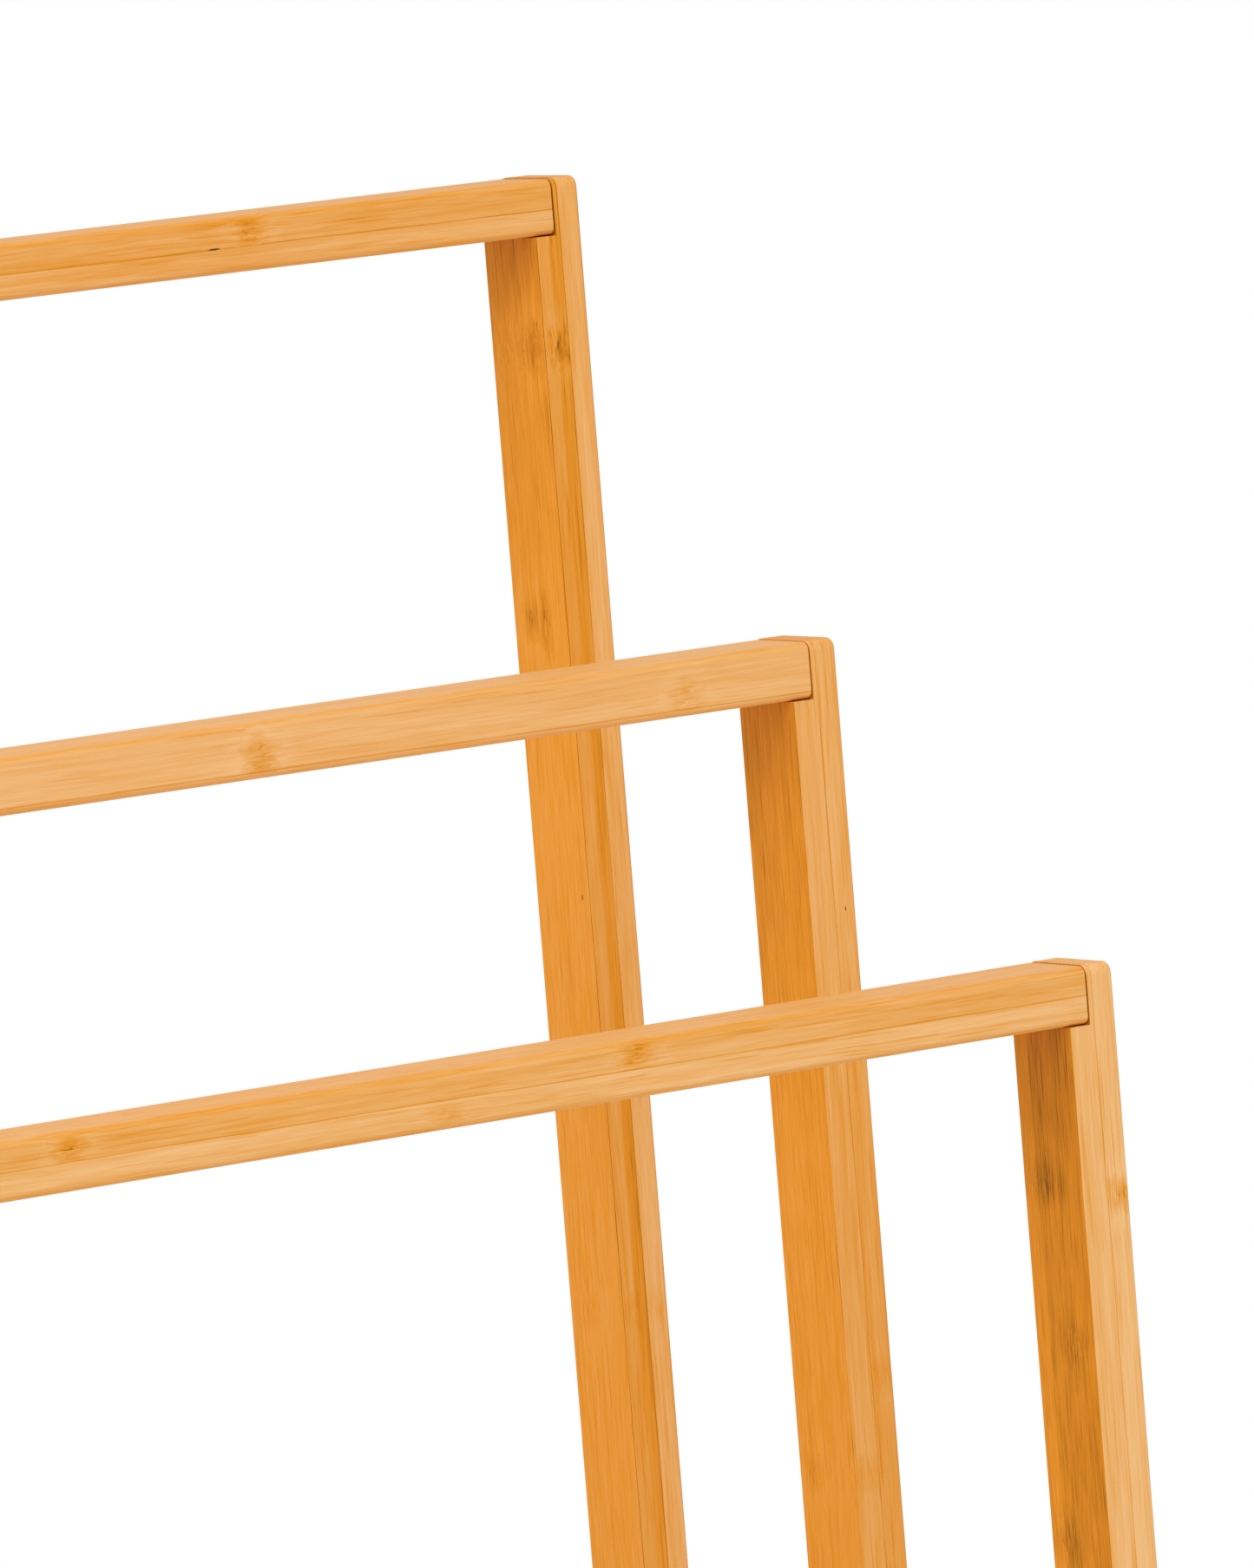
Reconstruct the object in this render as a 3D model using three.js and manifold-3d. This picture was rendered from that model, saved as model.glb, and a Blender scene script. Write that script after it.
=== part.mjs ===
// A free-standing bathroom towel rack of laminated bamboo.
//
// Three upside-down U frames stand one behind the other on two foot bars, the tallest at the
// back. In each frame a towel rail lies in a rebate at the top of its two uprights: it rests on
// the inner lamination and butts against the outer one, which runs on up as an ear, and a screw
// through the ear holds it. Screws from below and dowels hold the uprights on the foot bars, and
// two stretchers join the foot bars.
//
// Millimetres, +Z up. The origin is on the floor, under the middle of the rack. The front, with
// the lowest rail, faces -Y, and +X is the right-hand side.

import * as THREE from "three";
import { mergeVertices } from "three/addons/utils/BufferGeometryUtils.js";
import Module from "manifold-3d";

const wasm = await Module();
wasm.setup();

// ---- Driving dimensions -------------------------------------------------------------------

const RACK_WIDTH = 420; // over the outer faces of the uprights
const RACK_HEIGHT = 820; // floor to the top of the back frame
// drop: how far a frame's top lies below RACK_HEIGHT
// setback: how far it stands behind the front frame
// screwSide: the side of its centre line, 1 rear or -1 front, on which its foot screws go
const FRAMES = [
  { name: "front", drop: 204.5, setback: 0, screwSide: 1 },
  { name: "middle", drop: 123, setback: 111, screwSide: -1 },
  { name: "back", drop: 0, setback: 213, screwSide: -1 },
];
const SIDES = [
  { name: "left", sign: -1 },
  { name: "right", sign: 1 },
];

// Every bar is a 25 x 15 laminate of two plies
const BAR_WIDE = 25;
const BAR_THIN = 15;
const EAR = 8.5; // outer ply, which runs up past the end of the rail
const EASED = 1; // radius of the long edges of the uprights, foot bars and stretchers
const RAIL_ROUND = 2.2; // radius of the rails' long edges
const TOP_ROUND = 3; // radius across the tops of the uprights
const EAR_PROUD = 0.3; // the ear stands this far above the rail
const JOINT_GAP = 0.3; // between an end or shoulder and what it meets

const FOOT_LENGTH = 250;
const FOOT_END_ROUND = 4;
const PAD_THICKNESS = 2;
const PAD_RADIUS = 5;
const PAD_INSET = 8.5; // pad centre from the end of the foot bar

// Countersunk hexagon-socket wood screws and plain dowels
const SCREW_RADIUS = 2;
const HEAD_RADIUS = 3.9;
const HEAD_HEIGHT = 2.6;
const SOCKET_FLATS = 2.5;
const SOCKET_DEPTH = 1.6;
const SCREW_POINT = 4; // length of the tapered tip
const HOLE_CLEARANCE = 0.25; // round every screw and dowel
const HEAD_SUNK = 0.2; // the head lies this far below the face
const RAIL_SCREW_LENGTH = 45;
const FOOT_SCREW_LENGTH = 45;
const STRETCHER_SCREW_LENGTH = 50;
const COUNTERBORE_DEPTH = 5; // for the screws that go up through the foot bars
const DOWEL_RADIUS = 3;
const DOWEL_LENGTH = 24;
const DOWEL_CHAMFER = 1;
const SCREW_OFFSET = 5; // the screw lies this far to one side of the joint's centre,
const DOWEL_OFFSET = 6; // and the dowel this far to the other

const ROUND_STEPS = 3; // segments in a quarter round of an eased edge
const WIDE_STEPS = 5; // and of a wider one: a rail's edge, an upright's top or a foot bar's end
const HOLE_SIDES = 12;
const PAD_SIDES = 20;

// ---- Levels and lines worked out from them --------------------------------------------------

const FOOT_TOP = PAD_THICKNESS + BAR_WIDE;
const FOOT_MIDDLE = PAD_THICKNESS + BAR_WIDE / 2;
const LEDGE = BAR_THIN - EAR; // inner ply, which the rail rests on
const OUTER_FACE = RACK_WIDTH / 2;
const BAR_LINE = OUTER_FACE - BAR_THIN / 2; // centre line of a side's uprights and foot bar
const RAIL_LENGTH = RACK_WIDTH - 2 * (EAR + JOINT_GAP);
const STRETCHER_LENGTH = RACK_WIDTH - 2 * (BAR_THIN + JOINT_GAP);
const FRAMES_APART = FRAMES[2].setback; // the back frame's centre line behind the front one's

for (const frame of FRAMES) {
  frame.y = frame.setback - FRAMES_APART / 2;
  frame.top = RACK_HEIGHT - frame.drop;
  frame.railTop = frame.top - EAR_PROUD;
  frame.ledge = frame.railTop - BAR_THIN - JOINT_GAP;
  frame.railMiddle = frame.railTop - BAR_THIN / 2;
  frame.screwLine = frame.y + frame.screwSide * SCREW_OFFSET;
  frame.dowelLine = frame.y - frame.screwSide * DOWEL_OFFSET;
}

// The stretchers stand half-way between neighbouring frames
const STRETCHERS = [
  { name: "front", y: (FRAMES[0].y + FRAMES[1].y) / 2 },
  { name: "rear", y: (FRAMES[1].y + FRAMES[2].y) / 2 },
];

// ---- Materials ------------------------------------------------------------------------------

const railBamboo = new THREE.MeshStandardMaterial({ color: 0xe9b06c, roughness: 0.45, metalness: 0 });
const postBamboo = new THREE.MeshStandardMaterial({ color: 0xe49a46, roughness: 0.45, metalness: 0 });
const baseBamboo = new THREE.MeshStandardMaterial({ color: 0xe2a457, roughness: 0.5, metalness: 0 });
const screwSteel = new THREE.MeshStandardMaterial({ color: 0xb9b9b6, roughness: 0.3, metalness: 1 });
const dowelWood = new THREE.MeshStandardMaterial({ color: 0xd9b98a, roughness: 0.7, metalness: 0 });
const padRubber = new THREE.MeshStandardMaterial({ color: 0x3a3632, roughness: 0.8, metalness: 0 });

// ---- Solid modelling ------------------------------------------------------------------------

// A closed geometry as a manifold solid
function solid(geometry) {
  const bare = geometry.clone();
  bare.deleteAttribute("normal");
  bare.deleteAttribute("uv");
  const merged = mergeVertices(bare, 1e-4);
  return new wasm.Manifold(
    new wasm.Mesh({
      numProp: 3,
      vertProperties: new Float32Array(merged.attributes.position.array),
      triVerts: new Uint32Array(merged.index.array),
    }),
  );
}

// A manifold solid as a geometry
function geometryOf(body) {
  const mesh = body.getMesh();
  const points = new Float32Array(mesh.numVert * 3);
  for (let i = 0; i < mesh.numVert; i++) {
    points.set(mesh.vertProperties.subarray(i * mesh.numProp, i * mesh.numProp + 3), i * 3);
  }
  return new THREE.BufferGeometry()
    .setAttribute("position", new THREE.BufferAttribute(points, 3))
    .setIndex(new THREE.BufferAttribute(mesh.triVerts, 1));
}

const cut = (body, holes) => holes.reduce((left, hole) => left.subtract(hole), body);

// A rectangle about the origin, whose lower and upper corners have radii of their own
function roundedRectangle(width, height, lower, upper = lower) {
  const x = width / 2;
  const y = height / 2;
  return new THREE.Shape()
    .moveTo(-x + lower, -y)
    .lineTo(x - lower, -y)
    .absarc(x - lower, -y + lower, lower, -Math.PI / 2, 0)
    .lineTo(x, y - upper)
    .absarc(x - upper, y - upper, upper, 0, Math.PI / 2)
    .lineTo(-x + upper, y)
    .absarc(-x + upper, y - upper, upper, Math.PI / 2, Math.PI)
    .lineTo(-x, -y + lower)
    .absarc(-x + lower, -y + lower, lower, Math.PI, 1.5 * Math.PI);
}

// A shape drawn in a plane and extruded along one axis, centred on the origin.
// Along X the shape's own axes are Y and Z, along Y they are X and Z, and along Z they are X and Y.
function prism(shape, length, axis, curveSegments = ROUND_STEPS) {
  const geometry = new THREE.ExtrudeGeometry(shape, { depth: length, bevelEnabled: false, curveSegments });
  geometry.translate(0, 0, -length / 2);
  if (axis === "x") geometry.rotateX(Math.PI / 2).rotateZ(Math.PI / 2);
  if (axis === "y") geometry.rotateX(Math.PI / 2);
  return geometry;
}

// A turned solid from [radius, height] pairs that start and end on the axis, which becomes +Z
function turned(profile, sides = HOLE_SIDES) {
  const points = profile.map(([radius, height]) => new THREE.Vector2(radius, height));
  return new THREE.LatheGeometry(points, sides).rotateX(Math.PI / 2);
}

// Turns a geometry whose axis is +Z so that it points along +X (sign 1) or -X (sign -1)
const facing = (geometry, sign) => geometry.rotateY((sign * Math.PI) / 2);

// ---- Fasteners and the holes for them -------------------------------------------------------

// A screw with the top of its head at the origin and its point towards -Z
function screwGeometry(length) {
  const body = solid(
    turned([
      [0, -length],
      [SCREW_RADIUS, -length + SCREW_POINT],
      [SCREW_RADIUS, -HEAD_HEIGHT],
      [HEAD_RADIUS, -HEAD_HEIGHT / 4],
      [HEAD_RADIUS, 0],
      [0, 0],
    ]),
  );
  const socketRadius = SOCKET_FLATS / Math.sqrt(3);
  const socket = new THREE.CylinderGeometry(socketRadius, socketRadius, 2 * SOCKET_DEPTH, 6);
  return geometryOf(body.subtract(solid(socket.rotateX(Math.PI / 2))));
}

// The hole for that screw, from its mouth at the origin: a straight counterbore of the given
// depth, the countersink that the head sits in, and the bore round the shank
function screwHole(length, counterbore = 0) {
  const mouth = HEAD_RADIUS + HOLE_CLEARANCE;
  const bore = SCREW_RADIUS + HOLE_CLEARANCE;
  const seat = counterbore + HEAD_SUNK + HEAD_HEIGHT / 4 + HOLE_CLEARANCE;
  return turned([
    [0, -(counterbore + HEAD_SUNK + length + HOLE_CLEARANCE)],
    [bore, -(counterbore + HEAD_SUNK + length - SCREW_POINT)],
    [bore, -(counterbore + HEAD_SUNK + HEAD_HEIGHT + HOLE_CLEARANCE)],
    [mouth, -seat],
    [mouth, 1],
    [0, 1],
  ]);
}

// A dowel along Z, centred on the origin
function dowelGeometry() {
  const half = DOWEL_LENGTH / 2;
  return turned([
    [0, -half],
    [DOWEL_RADIUS - DOWEL_CHAMFER, -half],
    [DOWEL_RADIUS, -half + DOWEL_CHAMFER],
    [DOWEL_RADIUS, half - DOWEL_CHAMFER],
    [DOWEL_RADIUS - DOWEL_CHAMFER, half],
    [0, half],
  ]);
}

// The hole for a dowel, through both pieces that it joins
function dowelHole() {
  const half = DOWEL_LENGTH / 2 + 2 * HOLE_CLEARANCE;
  const radius = DOWEL_RADIUS + HOLE_CLEARANCE;
  return turned([
    [0, -half],
    [radius, -half],
    [radius, half],
    [0, half],
  ]);
}

// ---- Holes, each shared by the pieces that it passes through --------------------------------

const railScrewHole = (frame, sign) =>
  solid(facing(screwHole(RAIL_SCREW_LENGTH), sign).translate(sign * OUTER_FACE, frame.y, frame.railMiddle));

const footScrewHole = (frame, sign) =>
  solid(
    screwHole(FOOT_SCREW_LENGTH, COUNTERBORE_DEPTH)
      .rotateX(Math.PI)
      .translate(sign * BAR_LINE, frame.screwLine, PAD_THICKNESS),
  );

const footDowelHole = (frame, sign) =>
  solid(dowelHole().translate(sign * BAR_LINE, frame.dowelLine, FOOT_TOP));

const stretcherScrewHole = (stretcher, sign) =>
  solid(
    facing(screwHole(STRETCHER_SCREW_LENGTH), sign).translate(
      sign * OUTER_FACE,
      stretcher.y,
      FOOT_MIDDLE + SCREW_OFFSET,
    ),
  );

const stretcherDowelHole = (stretcher, sign) =>
  solid(
    facing(dowelHole(), sign).translate(
      sign * (OUTER_FACE - BAR_THIN),
      stretcher.y,
      FOOT_MIDDLE - DOWEL_OFFSET,
    ),
  );

// ---- Bars -----------------------------------------------------------------------------------

function railGeometry(frame) {
  const bar = prism(roundedRectangle(BAR_WIDE, BAR_THIN, RAIL_ROUND), RAIL_LENGTH, "x", WIDE_STEPS);
  const holes = SIDES.map((side) => railScrewHole(frame, side.sign));
  return geometryOf(cut(solid(bar.translate(0, frame.y, frame.railMiddle)), holes));
}

// A bar on end, rounded over at the top from front to back, with a rebate at its inner side for
// the end of the rail
function uprightGeometry(frame, sign) {
  const height = frame.top - FOOT_TOP;
  const section = prism(roundedRectangle(BAR_THIN, BAR_WIDE, EASED), height, "z");
  // Twice as tall, so that only its rounded top cuts the bar
  const profile = prism(roundedRectangle(BAR_WIDE, 2 * height, TOP_ROUND), 2 * BAR_THIN, "x", WIDE_STEPS);
  const bar = solid(section.translate(0, 0, -height / 2))
    .intersect(solid(profile.translate(0, 0, -height)))
    .translate([sign * BAR_LINE, frame.y, frame.top]);
  const rebateHeight = frame.top - frame.ledge;
  const rebate = new THREE.BoxGeometry(2 * LEDGE, 2 * BAR_WIDE, 2 * rebateHeight);
  const innerFace = OUTER_FACE - BAR_THIN;
  return geometryOf(
    cut(bar, [
      solid(rebate.translate(sign * innerFace, frame.y, frame.ledge + rebateHeight)),
      railScrewHole(frame, sign),
      footScrewHole(frame, sign),
      footDowelHole(frame, sign),
    ]),
  );
}

function footGeometry(sign) {
  const section = prism(roundedRectangle(BAR_THIN, BAR_WIDE, EASED), FOOT_LENGTH, "y");
  const outline = roundedRectangle(FOOT_LENGTH, BAR_WIDE, EASED, FOOT_END_ROUND);
  const bar = solid(section)
    .intersect(solid(prism(outline, 2 * BAR_THIN, "x", WIDE_STEPS)))
    .translate([sign * BAR_LINE, 0, FOOT_MIDDLE]);
  return geometryOf(
    cut(bar, [
      ...FRAMES.flatMap((frame) => [footScrewHole(frame, sign), footDowelHole(frame, sign)]),
      ...STRETCHERS.flatMap((stretcher) => [
        stretcherScrewHole(stretcher, sign),
        stretcherDowelHole(stretcher, sign),
      ]),
    ]),
  );
}

function stretcherGeometry(stretcher) {
  const bar = prism(roundedRectangle(BAR_THIN, BAR_WIDE, EASED), STRETCHER_LENGTH, "x");
  const holes = SIDES.flatMap((side) => [
    stretcherScrewHole(stretcher, side.sign),
    stretcherDowelHole(stretcher, side.sign),
  ]);
  return geometryOf(cut(solid(bar.translate(0, stretcher.y, FOOT_MIDDLE)), holes));
}

// A self-adhesive pad with a rounded rim, standing on the floor
function padGeometry() {
  const rim = PAD_THICKNESS / 4;
  return turned(
    [
      [0, 0],
      [PAD_RADIUS - rim, 0],
      [PAD_RADIUS, rim],
      [PAD_RADIUS, PAD_THICKNESS],
      [0, PAD_THICKNESS],
    ],
    PAD_SIDES,
  );
}

// ---- Assembly -------------------------------------------------------------------------------

const rack = new THREE.Group();

function add(name, geometry, material) {
  const mesh = new THREE.Mesh(geometry, material);
  mesh.name = name;
  rack.add(mesh);
  return mesh;
}

for (const frame of FRAMES) {
  add(`${frame.name}_rail`, railGeometry(frame), railBamboo);
  for (const { name, sign } of SIDES) {
    const corner = `${frame.name}_${name}`;
    add(`${corner}_upright`, uprightGeometry(frame, sign), postBamboo);

    add(`${corner}_rail_screw`, facing(screwGeometry(RAIL_SCREW_LENGTH), sign), screwSteel)
      .position.set(sign * (OUTER_FACE - HEAD_SUNK), frame.y, frame.railMiddle);

    add(`${corner}_foot_screw`, screwGeometry(FOOT_SCREW_LENGTH).rotateX(Math.PI), screwSteel)
      .position.set(sign * BAR_LINE, frame.screwLine, PAD_THICKNESS + COUNTERBORE_DEPTH + HEAD_SUNK);

    add(`${corner}_foot_dowel`, dowelGeometry(), dowelWood)
      .position.set(sign * BAR_LINE, frame.dowelLine, FOOT_TOP);
  }
}

for (const stretcher of STRETCHERS) {
  add(`${stretcher.name}_stretcher`, stretcherGeometry(stretcher), baseBamboo);
  for (const { name, sign } of SIDES) {
    const corner = `${stretcher.name}_${name}_stretcher`;
    add(`${corner}_screw`, facing(screwGeometry(STRETCHER_SCREW_LENGTH), sign), screwSteel)
      .position.set(sign * (OUTER_FACE - HEAD_SUNK), stretcher.y, FOOT_MIDDLE + SCREW_OFFSET);

    add(`${corner}_dowel`, facing(dowelGeometry(), sign), dowelWood)
      .position.set(sign * (OUTER_FACE - BAR_THIN), stretcher.y, FOOT_MIDDLE - DOWEL_OFFSET);
  }
}

for (const { name, sign } of SIDES) {
  add(`${name}_foot_bar`, footGeometry(sign), baseBamboo);
  for (const end of [{ name: "front", sign: -1 }, { name: "rear", sign: 1 }]) {
    add(`${end.name}_${name}_pad`, padGeometry(), padRubber)
      .position.set(sign * BAR_LINE, end.sign * (FOOT_LENGTH / 2 - PAD_INSET), 0);
  }
}

export default rack;
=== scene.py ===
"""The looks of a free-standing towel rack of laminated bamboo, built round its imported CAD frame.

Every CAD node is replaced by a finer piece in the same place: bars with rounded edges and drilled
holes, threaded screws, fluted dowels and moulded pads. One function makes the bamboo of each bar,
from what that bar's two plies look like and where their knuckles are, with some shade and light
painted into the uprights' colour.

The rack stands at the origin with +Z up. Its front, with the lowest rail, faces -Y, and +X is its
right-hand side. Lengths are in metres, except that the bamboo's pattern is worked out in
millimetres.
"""

import math
import random
from collections.abc import Sequence
from dataclasses import dataclass

import bmesh
import bpy
from mathutils import Matrix, Vector


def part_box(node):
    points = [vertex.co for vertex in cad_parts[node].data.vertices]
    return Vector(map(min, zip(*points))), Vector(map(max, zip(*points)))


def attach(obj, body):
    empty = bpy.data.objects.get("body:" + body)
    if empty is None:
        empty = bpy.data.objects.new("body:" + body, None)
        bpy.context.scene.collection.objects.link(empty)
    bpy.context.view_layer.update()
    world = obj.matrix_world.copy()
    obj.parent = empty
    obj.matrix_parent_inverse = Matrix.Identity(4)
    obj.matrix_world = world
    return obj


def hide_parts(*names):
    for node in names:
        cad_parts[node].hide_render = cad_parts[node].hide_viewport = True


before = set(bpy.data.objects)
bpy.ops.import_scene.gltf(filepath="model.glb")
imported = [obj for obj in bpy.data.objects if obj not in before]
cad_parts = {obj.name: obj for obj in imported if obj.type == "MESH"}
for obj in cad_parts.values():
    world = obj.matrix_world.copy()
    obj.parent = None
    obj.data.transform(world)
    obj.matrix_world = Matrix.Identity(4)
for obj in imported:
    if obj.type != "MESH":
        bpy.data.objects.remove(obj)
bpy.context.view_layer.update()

MM = 0.001
FRAMES = ("front", "middle", "back")
SIDES = {"left": -1, "right": 1}
X, Y, Z = Vector((1, 0, 0)), Vector((0, 1, 0)), Vector((0, 0, 1))

# Shapes that the CAD boxes don't give
EAR = 8.5 * MM  # outer ply of an upright, which runs up past the end of its rail
LEDGE_GAP = 0.3 * MM  # between a rail and the ledge under it
RAIL_ROUND = 2.2 * MM
TOP_ROUND = 3 * MM
RAIL_END_ROUND = 0.25 * MM
EASED = 1 * MM
CRISP = 0.25 * MM
FOOT_END_ROUND = 4 * MM
ROUND_OVER = 2 * MM  # edges with this radius or more are rounded first
WIDE_SEGMENTS = 9  # of an edge that is rounded first
FINE_SEGMENTS = 4  # and of the others
SHARP_ANGLE = math.radians(30)

SHANK_RADIUS = 2 * MM
HEAD_RADIUS = 3.9 * MM
HEAD_HEIGHT = 2.6 * MM
SOCKET_FLATS = 2.5 * MM
SOCKET_DEPTH = 1.6 * MM
SCREW_POINT = 4 * MM
PLAIN_SHANK = 1.8 * MM
PLAIN_SHARE = 0.3  # of a screw's length
THREAD_PITCH = 1.8 * MM
THREAD_CORE = 1.45 * MM
# One turn of thread, as (share of the pitch, share of the height from core to crest)
THREAD_SHAPE = ((0.0, 0.0), (0.38, 0.0), (0.56, 1.0), (0.66, 1.0), (0.84, 0.0))
THREAD_FADE = 1.5 * MM
SCREW_COLUMNS = 24

DOWEL_RADIUS = 3 * MM
DOWEL_CHAMFER = 0.9 * MM
FLUTES = 14
FLUTE_DEPTH = 0.2 * MM

CLEARANCE = 0.25 * MM  # round every screw and dowel
HEAD_SUNK = 0.2 * MM
COUNTERBORE = 5 * MM  # for the screws that go up through the foot bars
HOLE_COLUMNS = 40

PAD_ROUND = 0.8 * MM
PAD_COLUMNS = 48


# ---- Meshes ---------------------------------------------------------------------------------


def new_object(name, mesh):
    piece = bpy.data.objects.new(name, mesh)
    bpy.context.scene.collection.objects.link(piece)
    return piece


def applied(piece):
    """The piece's mesh with its modifiers applied, in place of its own."""
    depsgraph = bpy.context.evaluated_depsgraph_get()
    mesh = bpy.data.meshes.new_from_object(piece.evaluated_get(depsgraph))
    piece.modifiers.clear()
    piece.data = mesh
    return piece


def mesh_of(bm, name):
    """A new mesh from a BMesh, which is freed."""
    mesh = bpy.data.meshes.new(name)
    bm.to_mesh(mesh)
    bm.free()
    return mesh


def ring(radius, height, columns):
    """A ring of points about Z. The radius is a number, or a function of the angle."""
    points = []
    for i in range(columns):
        angle = 2 * math.pi * i / columns
        reach = radius(angle) if callable(radius) else radius
        points.append((reach * math.cos(angle), reach * math.sin(angle), height))
    return points


def skin(bm, rings):
    """Joins rings of points, one above the other, into a skin."""
    loops = [[bm.verts.new(point) for point in points] for points in rings]
    for lower, upper in zip(loops, loops[1:]):
        for i in range(len(lower)):
            j = (i + 1) % len(lower)
            bm.faces.new((lower[i], lower[j], upper[j], upper[i]))
    return loops


def closed_mesh(name, rings):
    """A mesh from rings of points that run upwards, capped at both ends."""
    bm = bmesh.new()
    loops = skin(bm, rings)
    bm.faces.new(reversed(loops[0]))
    bm.faces.new(loops[-1])
    return mesh_of(bm, name)


def turned_mesh(name, profile, columns=HOLE_COLUMNS):
    """A mesh turned about Z from (radius, height) pairs that run upwards."""
    return closed_mesh(name, [ring(radius, height, columns) for radius, height in profile])


def smooth(piece, sharp_angle=35):
    """Smooth shading that keeps flat faces flat and edges over the angle sharp."""
    piece.data.shade_smooth()
    piece.data.set_sharp_from_angle(angle=math.radians(sharp_angle))
    modifier = piece.modifiers.new("Flat faces", "WEIGHTED_NORMAL")
    modifier.keep_sharp = True
    return piece


def sharp_edges(bm, radius_of):
    """A mesh's sharp edges, each with its radius from its middle and direction."""
    radii = {}
    for edge in bm.edges:
        if edge.calc_face_angle() > SHARP_ANGLE:
            start, end = (vertex.co for vertex in edge.verts)
            radii[edge] = radius_of((start + end) / 2, (end - start).normalized())
    return radii


def prism(name, outline, low, high, radius_of):
    """A bar whose outline in X and Z runs from Y = low to high, with each edge rounded.

    radius_of takes an edge's middle and direction, and gives its radius. A bar's edges of
    ROUND_OVER or more all have one radius. They come first, and the edges left are rounded after.
    """
    bm = bmesh.new()
    weights = bm.edges.layers.float.new("bevel_weight_edge")
    front = [bm.verts.new((x, low, z)) for x, z in outline]
    back = [bm.verts.new((x, high, z)) for x, z in outline]
    count = len(outline)
    bm.faces.new(front)
    bm.faces.new(reversed(back))
    for i in range(count):
        j = (i + 1) % count
        bm.faces.new((front[j], front[i], back[i], back[j]))
    bmesh.ops.recalc_face_normals(bm, faces=bm.faces)
    radii = sharp_edges(bm, radius_of)
    over = [edge for edge, radius in radii.items() if radius >= ROUND_OVER]
    if over:
        bmesh.ops.bevel(
            bm,
            geom=over,
            offset=max(radii.values()),
            segments=WIDE_SEGMENTS,
            profile=0.5,
            affect="EDGES",
        )
    radii = sharp_edges(bm, radius_of)
    largest = max(radii.values())
    for edge, radius in radii.items():
        edge[weights] = radius / largest
    piece = new_object(name, mesh_of(bm, name))
    bevel = piece.modifiers.new("Rounded edges", "BEVEL")
    bevel.limit_method = "WEIGHT"
    bevel.width = largest
    bevel.segments = FINE_SEGMENTS
    bevel.use_clamp_overlap = False
    return applied(piece)


def drill(piece, cutters):
    """Cuts the cutters' meshes out of the piece, and removes them."""
    bm = bmesh.new()
    for cutter in cutters:
        bm.from_mesh(cutter)
        bpy.data.meshes.remove(cutter)
    joined = mesh_of(bm, "Cutter")
    tool = new_object("Cutter", joined)
    cut = piece.modifiers.new("Holes", "BOOLEAN")
    cut.object = tool
    cut.operation = "DIFFERENCE"
    cut.solver = "EXACT"
    cut.use_self = True
    applied(piece)
    bpy.data.objects.remove(tool)
    bpy.data.meshes.remove(joined)
    return piece


def finish_piece(piece, node, material):
    """Gives a piece its material and its place in the frame."""
    piece.data.materials.clear()
    piece.data.materials.append(material)
    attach(piece, "root")
    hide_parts(node)
    return piece


# ---- Holes ----------------------------------------------------------------------------------


def along(direction, origin):
    """The matrix that takes +Z at the origin to a direction at a place."""
    turn = Z.rotation_difference(direction).to_matrix().to_4x4()
    return Matrix.Translation(origin) @ turn


def screw_hole(length, outward, mouth, counterbore=0):
    """A countersunk hole, from the middle of its mouth on a face that looks outward."""
    top = -counterbore - HEAD_SUNK
    rim = HEAD_RADIUS + CLEARANCE
    bore = SHANK_RADIUS + CLEARANCE
    profile = [
        (0.1 * MM, top - length - CLEARANCE),
        (bore, top - length + SCREW_POINT),
        (bore, top - HEAD_HEIGHT - CLEARANCE),
        (rim, top - HEAD_HEIGHT / 4 - CLEARANCE),
        (rim, 1 * MM),
    ]
    mesh = turned_mesh("Hole", profile)
    mesh.transform(along(outward, mouth))
    return mesh


def dowel_hole(low, high, axis):
    """The bore round a dowel that fills the box from low to high along an axis."""
    middle = (low + high) / 2
    half = (high - low).dot(axis) / 2 + 2 * CLEARANCE
    radius = DOWEL_RADIUS + CLEARANCE
    mesh = turned_mesh("Hole", [(radius, -half), (radius, half)])
    mesh.transform(along(axis, middle))
    return mesh


def holes_in(bar):
    """The holes of every screw and dowel whose box meets a bar's box."""
    bar_low, bar_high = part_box(bar)
    cutters = []
    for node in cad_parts:
        if not node.endswith(("_screw", "_dowel")):
            continue
        low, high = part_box(node)
        if any(low[i] > bar_high[i] or high[i] < bar_low[i] for i in range(3)):
            continue
        middle = (low + high) / 2
        side = math.copysign(1, middle.x)
        if node.endswith("foot_dowel"):
            cutters.append(dowel_hole(low, high, Z))
        elif node.endswith("dowel"):
            cutters.append(dowel_hole(low, high, X))
        elif node.endswith("foot_screw"):
            mouth = Vector((middle.x, middle.y, low.z - HEAD_SUNK - COUNTERBORE))
            cutters.append(screw_hole(high.z - low.z, -Z, mouth, COUNTERBORE))
        else:
            face = (high.x if side > 0 else low.x) + side * HEAD_SUNK
            mouth = Vector((face, middle.y, middle.z))
            cutters.append(screw_hole(high.x - low.x, side * X, mouth))
    return cutters


# ---- Node trees -----------------------------------------------------------------------------


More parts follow.
